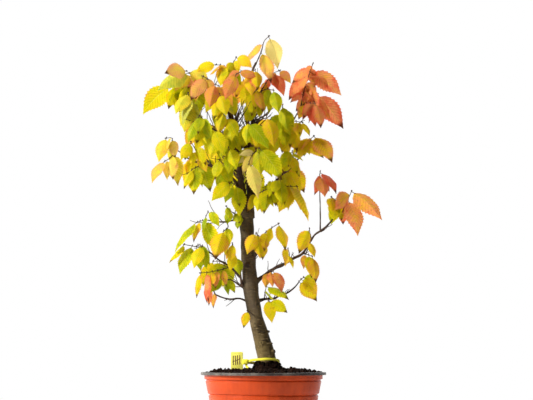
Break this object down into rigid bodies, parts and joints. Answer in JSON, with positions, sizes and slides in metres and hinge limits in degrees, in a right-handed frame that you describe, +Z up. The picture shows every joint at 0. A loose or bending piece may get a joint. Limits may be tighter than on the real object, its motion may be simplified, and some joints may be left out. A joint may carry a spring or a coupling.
{
  "type": "japanese zelkova bonsai",
  "caption": "Young zelkova bonsai in autumn leaf: a leaning trunk forked into leafy sprays, in a round plastic nursery pot with soil and a marker tie.",
  "frame": {"origin": "middle of the pot's flat underside, on the surface that it stands on", "axes": "+Z up, +X to the right of the pictured side, -Y toward its front"},
  "size_m": [0.3203, 0.1733, 0.5895],
  "materials": {
    "pot": "satin",
    "soil": "matte",
    "bark": "matte",
    "tie": "satin",
    "green_leaves": "satin",
    "golden_leaves": "satin",
    "orange_leaves": "satin",
    "red_leaves": "satin"
  },
  "bodies": {
    "root": {"pot": "pot", "soil": "soil", "trunk": "bark", "marker_tie": "tie", "spray_back_left": "golden_leaves", "spray_back_right": "golden_leaves", "spray_centre_back": "golden_leaves", "spray_centre_green": "green_leaves", "spray_centre_high": "green_leaves", "spray_centre_left": "green_leaves", "spray_centre_long": "green_leaves", "spray_centre_pale": "golden_leaves", "spray_centre_under": "green_leaves", "spray_crest_high": "orange_leaves", "spray_crest_low": "golden_leaves", "spray_far_left": "golden_leaves", "spray_left_back": "golden_leaves", "spray_left_green": "green_leaves", "spray_left_inner": "green_leaves", "spray_left_mid": "green_leaves", "spray_left_mid_back": "golden_leaves", "spray_left_olive": "green_leaves", "spray_left_tuft": "green_leaves", "spray_left_under": "green_leaves", "spray_left_upper": "golden_leaves", "spray_low_left_back": "golden_leaves", "spray_low_left_end": "golden_leaves", "spray_low_left_gold": "orange_leaves", "spray_low_left_green": "green_leaves", "spray_low_left_pink": "red_leaves", "spray_low_left_twig": "orange_leaves", "spray_low_right_end": "golden_leaves", "spray_low_right_green": "green_leaves", "spray_low_right_red": "red_leaves", "spray_low_trunk": "golden_leaves", "spray_mid_cluster": "golden_leaves", "spray_outer_shoot": "red_leaves", "spray_outer_tip": "orange_leaves", "spray_right_back": "golden_leaves", "spray_right_fan": "golden_leaves", "spray_right_fringe": "golden_leaves", "spray_right_front": "golden_leaves", "spray_right_gold": "golden_leaves", "spray_right_green": "green_leaves", "spray_right_low_mid": "golden_leaves", "spray_right_low_pair": "golden_leaves", "spray_right_olive": "green_leaves", "spray_right_under": "golden_leaves", "spray_right_yellow": "golden_leaves", "spray_shoot": "red_leaves", "spray_top_arch": "golden_leaves", "spray_top_back": "golden_leaves", "spray_top_brown": "orange_leaves", "spray_top_front": "orange_leaves", "spray_top_red": "red_leaves", "spray_top_tip": "orange_leaves", "spray_wing": "green_leaves", "spray_wing_drop": "green_leaves"}
  },
  "joints": []
}
